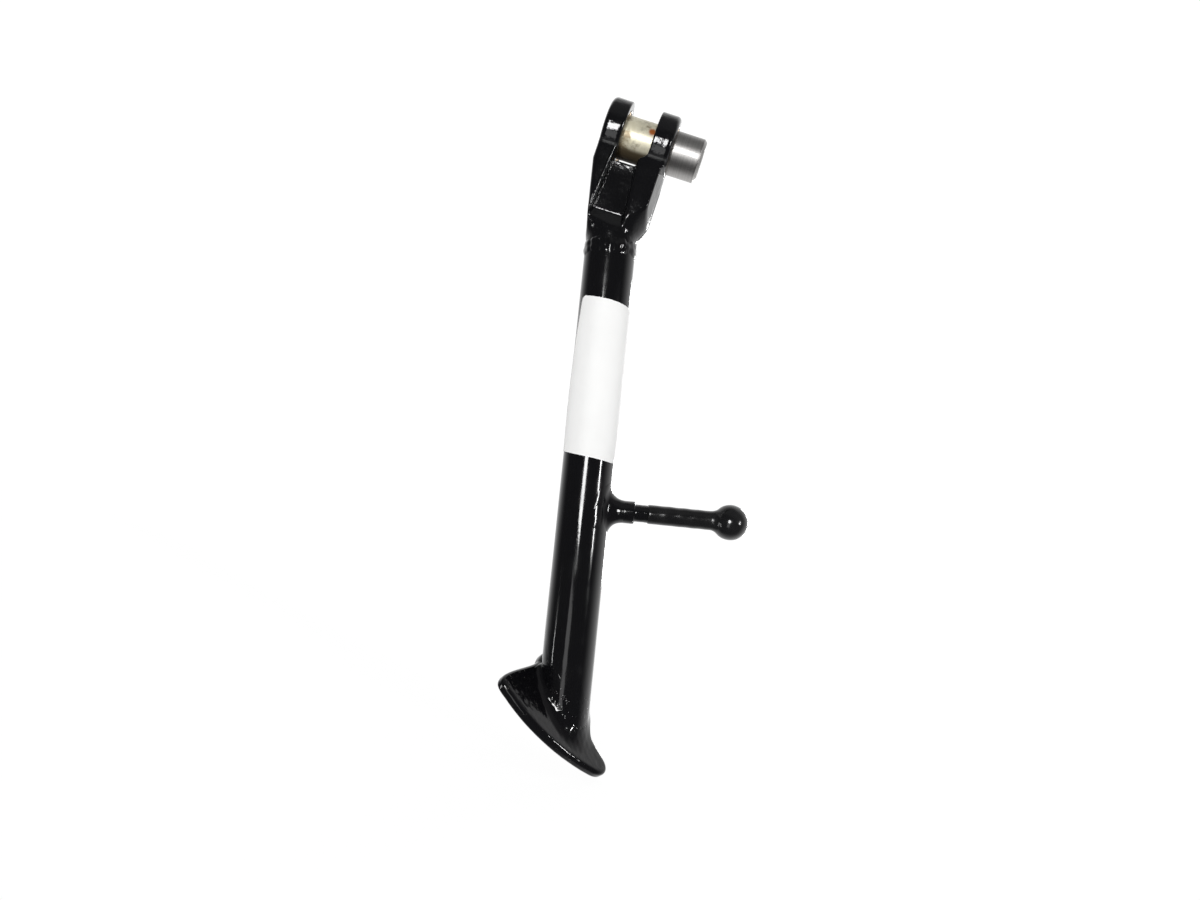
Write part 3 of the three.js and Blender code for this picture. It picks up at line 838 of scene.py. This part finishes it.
def make_head_weld():
    """A bead laid in overlapping beads round the tube."""
    low, high = BEAD_TOP - 1.8, BEAD_END + 1.2
    centre = (low + high) / 2
    half = (high - low) / 2
    inner = TUBE_RADIUS - 0.6
    profile = rounded([(low, inner, 0), (low, inner + 0.2, 0), (high, inner + 0.2, 0), (high, inner, 0)])
    profile = spread(profile, 0.3)
    count = 11
    random = np.random.default_rng(31)
    centres = (np.arange(count) + random.uniform(-0.18, 0.18, count)) * TAU / count
    shifts = random.uniform(-0.5, 0.5, count)
    heights = random.uniform(0.7, 1.0, count)
    half_length = 5.6
    uneven = waves(32, 2.6, 0.3)

    def relief(along, radius, angle):
        swell = np.zeros_like(along)
        for place, shift, height in zip(centres, shifts, heights):
            arc = ((angle - place + math.pi) % TAU - math.pi) * TUBE_RADIUS
            share = (arc / half_length) ** 2 + ((along - centre - shift) / (half - 0.2)) ** 2
            swell = np.maximum(swell, height * np.clip(1 - share, 0, 1) ** 0.7)
        place = np.moveaxis(leg.points(along, radius, angle), -1, 0)
        swell = np.maximum(swell + np.clip(swell, 0, 0.5) * uneven(*place), 0)
        outer = radius > inner + 0.1
        return np.zeros_like(along), np.where(outer, swell, 0)

    turned_piece(
        "head_weld_bead", leg, profile, weld_paint, "stand", "head_weld",
        sides=240, relief=relief,
    )


# ---------------------------------------------------------------- foot

def curve(start, lean_out, lean_in, end, steps=14):
    """Points on a Bezier curve, without its last."""
    share = np.arange(steps)[:, None] / steps
    ends = [np.array(p, float) for p in (start, lean_out, lean_in, end)]
    weights = ((1 - share) ** 3, 3 * share * (1 - share) ** 2, 3 * share ** 2 * (1 - share), share ** 3)
    return [tuple(p) for p in sum(w * p for w, p in zip(weights, ends))]


def foot_outline():
    """The plate from above: a bowed ground edge, two round corners and a rounded back."""
    return (
        curve((-28.6, -12.8), (-29.8, -17), (-28.5, -18.4), (-23, -19.7))
        + curve((-23, -19.7), (-10, -24.2), (8, -24.6), (25, -19.8))
        + curve((25, -19.8), (31.5, -18.2), (33.2, -13.2), (28.4, -10.6))
        + curve((28.4, -10.6), (24, -8.6), (19.5, -7.6), (17.6, -3.4))
        + curve((17.6, -3.4), (15, 9), (6, 18.6), (-6, 18.6))
        + curve((-6, 18.6), (-15, 18.6), (-18.2, 12), (-17.4, 6))
        + curve((-17.4, 6), (-19, 1), (-26, -6.5), (-28.6, -12.8))
    )


def make_foot_plate():
    """A plate with its top edge rounded more than its bottom one."""
    outline = foot_outline()
    top_edge, bottom_edge = 1.7, 1.3

    def field(x, y, z):
        edge = inside_outline(x, y, outline)
        return common(common(edge, z + 0 * x, top_edge), -FOOT_THICKNESS - z, bottom_edge)

    points, quads = field_mesh(
        field, (-32, -26, -FOOT_THICKNESS - 1), (34, 21, 1), 0.45, waves(41, 9, 0.012), FOOT_ORIGIN, FOOT_AXES
    )
    make_piece("foot_plate_pressed", points, quads, foot_paint, "stand", "foot_plate")


def make_foot_weld():
    """A fillet of weld round the tube, kept inside the plate's edge."""
    outline = foot_outline()
    way = -FOOT_AXES @ leg.along
    fillet_radius, margin, root, edge = 3.6, 0.9, 0.5, 1.0

    def field(x, y, z):
        up = x * way[0] + y * way[1] + z * way[2]
        out = np.sqrt(np.maximum(x * x + y * y + z * z - up * up, 0)) - TUBE_RADIUS
        fillet = join(out, z + 0 * out, fillet_radius)
        weld = np.maximum(np.maximum(fillet, -out - root), -z - root)
        return common(weld, inside_outline(x, y, outline) + margin, edge)

    points, quads = field_mesh(
        field, (-28, -24, -1.5), (28, 24, 10), 0.4, waves(52, 2.8, 0.03), FOOT_ORIGIN, FOOT_AXES
    )
    make_piece("foot_weld_fillet", points, quads, weld_paint, "stand", "foot_weld")


# ---------------------------------------------------------------- kick lever

_, WELD_END, _, _ = reach("lever_weld", lever)
BOSS_LOW, BOSS_END, _, BOSS_RADIUS = reach("lever_boss", lever)
_, ROD_END, _, NECK_RADIUS = reach("lever_rod", lever)
GRIP_LOW, GRIP_END, GRIP_HOLE, BALL_RADIUS = reach("lever_grip", lever)
GRIP_RADIUS = 4.1
BALL_CENTRE = GRIP_END - BALL_RADIUS
BALL_FILLET = 5
RAGGED_LENGTH = 4


def make_lever_weld():
    """The flare that joins the lever to the tube, drawn about where the two axes cross."""
    axes = np.array((leg.across, (0, 1, 0), -leg.along))
    fillet_radius, skirt_radius, root = 5.9, 12.5, 0.5
    squeeze, squeeze_length = 0.35, 5

    def field(x, y, z):
        tube = np.hypot(x, y) - TUBE_RADIUS
        narrowing = 1 + squeeze * np.clip((WELD_END - 2 - x) / squeeze_length, 0, 1)
        bar = np.hypot(y * narrowing, z) - BOSS_RADIUS
        flare = join(tube, bar, fillet_radius)
        flare = common(flare, x - WELD_END - 0.2, 0.4)
        return np.maximum(np.maximum(flare, -tube - root), np.hypot(y, z) - skirt_radius)

    points, quads = field_mesh(
        field, (2, -14, -14), (19, 14, 14), 0.35, waves(61, 4.5, 0.06), lever.origin, axes
    )
    make_piece("lever_weld_flare", points, quads, weld_paint, "stand", "lever_weld")


def make_lever_boss():
    hole = NECK_RADIUS - 0.4
    profile = rounded([
        (BOSS_LOW - 0.5, hole, 0.1),
        (BOSS_LOW - 0.5, BOSS_RADIUS, 0.2),
        (BOSS_END, BOSS_RADIUS, 0.5),
        (BOSS_END, hole, 0.1),
    ])
    ripple = waves(71, 3, 0.03)

    def relief(along, radius, angle):
        place = np.moveaxis(lever.points(along, radius, angle), -1, 0)
        return np.zeros_like(along), np.where(radius > hole + 0.3, ripple(*place), 0)

    turned_piece(
        "lever_boss_collar", lever, spread(profile, 0.5), weld_paint, "stand", "lever_boss",
        sides=96, relief=relief,
    )


def make_lever_rod():
    core = GRIP_HOLE - GAP
    profile = rounded([
        (TUBE_RADIUS - 2, 0, 0),
        (TUBE_RADIUS - 2, NECK_RADIUS, 0.3),
        (GRIP_LOW + 0.5, NECK_RADIUS, 0.3),
        (GRIP_LOW + 0.5, core, 0.2),
        (ROD_END, core, 0.5),
        (ROD_END, 0, 0),
    ], closed=False)
    ripple = waves(72, 1.8, 0.03)

    def relief(along, radius, angle):
        place = np.moveaxis(lever.points(along, radius, angle), -1, 0)
        return np.zeros_like(along), np.where(radius > core + 0.2, ripple(*place), 0)

    turned_piece(
        "lever_rod_bar", lever, spread(profile, 0.5, closed=False), weld_paint, "stand", "lever_rod",
        sides=96, closed=False, relief=relief,
    )


def make_lever_grip():
    """The moulded cover: a sleeve with a ragged inner end that swells into a ball."""
    radial = GRIP_RADIUS + BALL_FILLET
    back = math.sqrt((BALL_RADIUS + BALL_FILLET) ** 2 - radial ** 2)
    meet = math.atan2(radial, back)
    arc = [(BALL_CENTRE - back + BALL_FILLET * math.sin(t), radial - BALL_FILLET * math.cos(t))
           for t in np.linspace(0, math.pi / 2 - meet, 9)]
    ball = [(BALL_CENTRE - BALL_RADIUS * math.cos(t), BALL_RADIUS * math.sin(t))
            for t in np.linspace(meet, math.pi, 40)[1:]]
    mouth = rounded([
        (ROD_END + GAP, 0, 0),
        (ROD_END + GAP, GRIP_HOLE, 0.2),
        (GRIP_LOW, GRIP_HOLE, 0.1),
        (GRIP_LOW, GRIP_RADIUS, 0.35),
        (arc[0][0], arc[0][1], 0),
    ], closed=False)
    profile = np.concatenate([spread(mouth, 0.5, closed=False), np.array(arc[1:] + ball)])
    profile[-1, 1] = 0
    ragged = waves(81, 3.0, 0.25)
    ripple = waves(82, 5, 0.035)

    def relief(along, radius, angle):
        place = np.moveaxis(lever.points(along, radius, angle), -1, 0)
        mouth_share = np.clip(1 - (along - GRIP_LOW) / RAGGED_LENGTH, 0, 1) * (radius > GRIP_HOLE - 0.2)
        return mouth_share * ragged(*place), np.where(radius > GRIP_HOLE + 0.3, ripple(*place), 0)

    turned_piece(
        "lever_grip_moulding", lever, profile, grip_plastic(), "stand", "lever_grip",
        closed=False, relief=relief,
    )


# ---------------------------------------------------------------- sticker

LABEL_WIDTH = 33.2
LABEL_HEIGHT = 67
LABEL_STATION = 109.5
LABEL_CENTRE_ARC = 1.4
LABEL_TILT = math.radians(7.2)
LABEL_CORNER = 2.2
LABEL_THICKNESS = 0.14
LABEL_GLUE = 0.05
LABEL_EDGE_LIFT = 0.15
LABEL_EDGE_SHARE = 0.07


def make_label():
    """A blank rounded sheet, tilted a little, wrapped round the tube with its side edges lifting slightly."""
    columns, rows = 48, 90
    half = LABEL_HEIGHT / 2
    ends = half - LABEL_CORNER * (1 - np.cos(np.linspace(math.pi / 2, 0, 9)))
    body = np.linspace(-half + LABEL_CORNER, half - LABEL_CORNER, rows)
    heights = np.unique(np.round(np.concatenate([-ends, body, ends]), 6))
    near_end = np.maximum(np.abs(heights) - (half - LABEL_CORNER), 0)
    inset = LABEL_CORNER - np.sqrt(np.maximum(LABEL_CORNER ** 2 - near_end ** 2, 0))
    across = np.linspace(-1, 1, columns)
    u = across[None] * (LABEL_WIDTH / 2 - inset)[:, None]
    v = np.repeat(heights[:, None], columns, axis=1)
    turned_u = u * math.cos(LABEL_TILT) + v * math.sin(LABEL_TILT)
    turned_v = v * math.cos(LABEL_TILT) - u * math.sin(LABEL_TILT)
    angle = (turned_u + LABEL_CENTRE_ARC) / TUBE_RADIUS
    station = LABEL_STATION - turned_v
    ripple = waves(91, 14, 0.03)
    place = np.moveaxis(leg.points(station, np.full_like(u, TUBE_RADIUS), angle), -1, 0)
    near_side = np.clip(np.abs(across)[None] - (1 - LABEL_EDGE_SHARE), 0, 1) / LABEL_EDGE_SHARE
    under = TUBE_RADIUS + LABEL_GLUE + np.abs(ripple(*place)) + LABEL_EDGE_LIFT * near_side
    outer = leg.points(station, under + LABEL_THICKNESS, angle).reshape(-1, 3)
    inner = leg.points(station, under - 0.02, angle).reshape(-1, 3)
    count = len(outer)
    index = np.arange(count).reshape(len(heights), columns)
    faces = []
    for row in range(len(heights) - 1):
        for column in range(columns - 1):
            a, b = index[row, column], index[row, column + 1]
            c, d = index[row + 1, column + 1], index[row + 1, column]
            faces.append([a, b, c, d])
            faces.append([count + d, count + c, count + b, count + a])
    rim = list(index[0]) + list(index[1:, -1]) + list(index[-1, -2::-1]) + list(index[-2:0:-1, 0])
    for a, b in zip(rim, rim[1:] + rim[:1]):
        faces.append([b, a, count + a, count + b])
    faces = [[int(i) for i in face] for face in faces]
    piece = make_piece(
        "label_sheet", np.concatenate([outer, inner]), faces, sticker_paper(), "stand", "label"
    )
    face_outwards(piece)


# ---------------------------------------------------------------- studio

BACKDROP_RADIUS = 6000
BACKDROP_GLOW = 1.05
FLOOR_RADIUS = 5.0
FLOOR_DROP = 0.001


def make_backdrop():
    """A white sphere that only the camera sees, so that the background is plain white from every side."""
    turn = np.linspace(0, math.pi, 25)
    profile = BACKDROP_RADIUS * np.stack([-np.cos(turn), np.sin(turn)], axis=1)
    upright = Line((0, 0, 0), (0, 0, 1), (1, 0, 0), FRONT)
    points, faces = turned_mesh(upright, profile, 48, closed=False)
    mesh = bpy.data.meshes.new("backdrop")
    mesh.from_pydata((points * MM).tolist(), [], faces)
    nodes = Nodes("backdrop_white")
    nodes.set(Base_Color=(0, 0, 0, 1), Emission_Color=(1, 1, 1, 1), Emission_Strength=BACKDROP_GLOW)
    mesh.materials.append(nodes.material)
    backdrop = bpy.data.objects.new("backdrop", mesh)
    bpy.context.scene.collection.objects.link(backdrop)
    backdrop.visible_diffuse = False
    backdrop.visible_glossy = False
    backdrop.visible_transmission = False
    backdrop.visible_shadow = False


def make_floor():
    """A wide pale disc under the foot."""
    level = cad_box[0].z - FLOOR_DROP
    angle = np.linspace(0, TAU, 96, endpoint=False)
    points = [(FLOOR_RADIUS * math.cos(a), FLOOR_RADIUS * math.sin(a), level) for a in angle]
    mesh = bpy.data.meshes.new("floor")
    mesh.from_pydata(points, [], [list(range(len(points)))])
    nodes = Nodes("floor_pale")
    away = nodes.add("ShaderNodeVectorMath", {"operation": "LENGTH"}, Vector=nodes.place)
    glow = nodes.ramp(away.outputs["Value"], 0.35, 1.1, 0.95, 1.05)
    nodes.set(Base_Color=(0.08, 0.08, 0.08, 1), Roughness=0.9, Specular_IOR_Level=0.0)
    nodes.set(Emission_Color=(1, 1, 1, 1), Emission_Strength=glow)
    mesh.materials.append(nodes.material)
    floor = bpy.data.objects.new("floor", mesh)
    bpy.context.scene.collection.objects.link(floor)
    floor.visible_glossy = False
    floor.visible_shadow = False


LIGHT_DISTANCE = 2.0

# Each strip's azimuth in degrees, height, width and length in metres, and radiance. Azimuth 0 is in
# front of the object and 90 is outboard.
STRIPS = {
    "strip_front": (-9.5, 0.0, 0.44, 0.66, 30),
    "strip_low": (-9, -0.95, 0.58, 0.9, 1.8),
    "strip_left_low": (-72, -1.4, 0.12, 0.8, 11),
    "strip_side": (58, 0.33, 0.11, 0.5, 80),
    "strip_rear": (160, 0.2, 0.15, 0.9, 25),
}


def make_lights():
    """Soft strips round the object, all facing its middle."""
    centre = (cad_box[0] + cad_box[1]) / 2
    for name, (azimuth, height, width, length, radiance) in STRIPS.items():
        data = bpy.data.lights.new(name, "AREA")
        data.shape = "RECTANGLE"
        data.size = width
        data.size_y = length
        data.energy = radiance * math.pi * width * length
        light = bpy.data.objects.new(name, data)
        bpy.context.scene.collection.objects.link(light)
        a = math.radians(azimuth)
        flat = Vector((centre.x + LIGHT_DISTANCE * math.sin(a), centre.y - LIGHT_DISTANCE * math.cos(a)))
        place = Vector((*flat, height))
        turn = (centre - place).to_track_quat("-Z", "Y").to_matrix().to_4x4()
        light.matrix_world = Matrix.Translation(place) @ turn


# The bright side of the room is behind, turned this many degrees outboard.
BRIGHT_SIDE = 10


def make_world():
    """A dim room in front, bright white behind and a little outboard, and a pale ceiling."""
    world = bpy.data.worlds.new("studio")
    bpy.context.scene.world = world
    world.use_nodes = True
    tree = world.node_tree
    ground = tree.nodes["Background"]
    place = tree.nodes.new("ShaderNodeTexCoord")

    def glow(way, low, high, dim, bright):
        """Brightness that rises with how far a direction leans one way."""
        lean = tree.nodes.new("ShaderNodeVectorMath")
        lean.operation = "DOT_PRODUCT"
        lean.inputs[1].default_value = way
        rise = tree.nodes.new("ShaderNodeMapRange")
        rise.interpolation_type = "SMOOTHSTEP"
        for name, number in (("From Min", low), ("From Max", high), ("To Min", dim), ("To Max", bright)):
            rise.inputs[name].default_value = number
        tree.links.new(place.outputs["Generated"], lean.inputs[0])
        tree.links.new(lean.outputs["Value"], rise.inputs["Value"])
        return rise.outputs["Result"]

    side = math.radians(BRIGHT_SIDE)
    behind = glow((math.sin(side), math.cos(side), 0), -0.2, 0.7, 0.07, 1.2)
    above = glow((0, 0, 1), 0.35, 0.8, 0.0, 0.22)
    both = tree.nodes.new("ShaderNodeMath")
    both.operation = "MAXIMUM"
    tree.links.new(behind, both.inputs[0])
    tree.links.new(above, both.inputs[1])
    tree.links.new(both.outputs[0], ground.inputs["Strength"])
    ground.inputs["Color"].default_value = (1, 1, 1, 1)


# ---------------------------------------------------------------- assembly

make_camera()
make_world()
make_lights()
make_backdrop()
make_floor()

make_fork_head()
make_sleeve()
bush_metal = bronze_metal()
make_bush("ear_bush_inboard", bush_metal)
make_bush("ear_bush_outboard", bush_metal)
make_tube()
make_head_weld()
make_foot_plate()
make_foot_weld()
make_lever_weld()
make_lever_boss()
make_lever_rod()
make_lever_grip()
make_label()

bpy.context.scene.view_settings.view_transform = "Standard"
